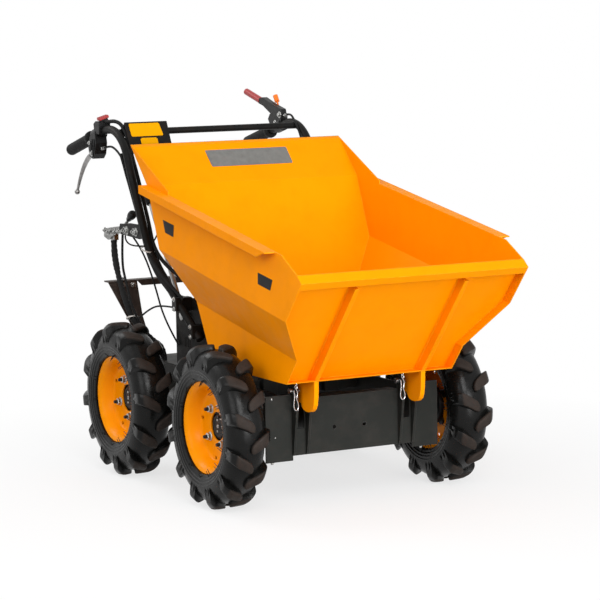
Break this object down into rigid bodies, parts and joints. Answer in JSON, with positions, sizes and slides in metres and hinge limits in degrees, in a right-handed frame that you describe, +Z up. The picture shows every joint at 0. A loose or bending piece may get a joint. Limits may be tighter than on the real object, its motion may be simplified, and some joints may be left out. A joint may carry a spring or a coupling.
{
  "type": "walk-behind four-wheel site dumper",
  "caption": "Walk-behind mini dumper on four lug-tyred wheels, with a forward-tipping sheet steel skip, a small petrol engine behind it and two handlebars for the operator.",
  "frame": {"origin": "on the ground under the centre of the machine's bounding box", "axes": "+X forward to the skip's lip, +Y to the operator's left, +Z up"},
  "size_m": [1.4358, 0.747, 1.0084],
  "materials": {
    "orange_paint": "satin",
    "chassis_grey": "satin",
    "tyre": "matte",
    "zinc_steel": "satin",
    "chrome": "polished",
    "black_rubber": "matte",
    "black_plastic": "matte",
    "red_plastic": "matte",
    "orange_plastic": "satin",
    "engine_alloy": "satin",
    "cast_grey": "matte"
  },
  "bodies": {
    "chassis": {"front_plate": "chassis_grey", "hinge_brackets": "chassis_grey", "hinge_pins": "zinc_steel", "side_members": "chassis_grey", "engine_deck": "chassis_grey", "skip_rest": "chassis_grey", "front_axle": "chassis_grey", "rear_axle": "chassis_grey", "gearbox": "cast_grey", "engine_block": "engine_alloy", "cylinder_head": "engine_alloy", "fuel_tank": "black_plastic", "muffler": "zinc_steel", "air_filter": "black_plastic", "recoil_starter": "black_plastic", "side_plates": "chassis_grey", "rear_guard": "chassis_grey", "handle_frame": "chassis_grey", "tube_clamps": "chassis_grey", "grip_left": "black_rubber", "grip_right": "black_rubber", "console_plate": "chassis_grey", "brake_perch": "black_plastic", "brake_lever": "chrome", "stop_switch": "red_plastic", "clutch_perch": "black_plastic", "clutch_lever": "black_plastic", "clutch_grip": "red_plastic", "throttle_lever": "orange_plastic", "shift_bracket": "chassis_grey", "shift_linkage": "zinc_steel", "shift_knob": "black_plastic", "release_lever": "zinc_steel", "release_grip": "black_rubber", "cable_sleeve": "black_rubber", "control_cables": "black_rubber"},
    "skip": {"skip_shell": "orange_paint", "skip_rails": "orange_paint", "hinge_lugs": "orange_paint", "front_ribs": "orange_paint"},
    "wheel_front_right": {"tyre_front_right": "tyre", "rim_front_right": "orange_paint", "hub_front_right": "black_plastic"},
    "wheel_front_left": {"tyre_front_left": "tyre", "rim_front_left": "orange_paint", "hub_front_left": "black_plastic"},
    "wheel_rear_right": {"tyre_rear_right": "tyre", "rim_rear_right": "orange_paint", "hub_rear_right": "black_plastic"},
    "wheel_rear_left": {"tyre_rear_left": "tyre", "rim_rear_left": "orange_paint", "hub_rear_left": "black_plastic"}
  },
  "joints": [
    {"name": "wheel_front_right_turn", "type": "hinge", "parent": "chassis", "child": "wheel_front_right", "pos_m": [0.272, -0.321, 0.2055], "axis": [0, 1, 0], "continuous": true},
    {"name": "wheel_front_left_turn", "type": "hinge", "parent": "chassis", "child": "wheel_front_left", "pos_m": [0.272, 0.321, 0.2055], "axis": [0, 1, 0], "continuous": true},
    {"name": "wheel_rear_right_turn", "type": "hinge", "parent": "chassis", "child": "wheel_rear_right", "pos_m": [-0.272, -0.321, 0.2055], "axis": [0, 1, 0], "continuous": true},
    {"name": "wheel_rear_left_turn", "type": "hinge", "parent": "chassis", "child": "wheel_rear_left", "pos_m": [-0.272, 0.321, 0.2055], "axis": [0, 1, 0], "continuous": true},
    {"name": "skip_tip", "type": "hinge", "parent": "chassis", "child": "skip", "pos_m": [0.398, 0, 0.298], "axis": [0, 1, 0], "range_deg": [0, 80]}
  ]
}
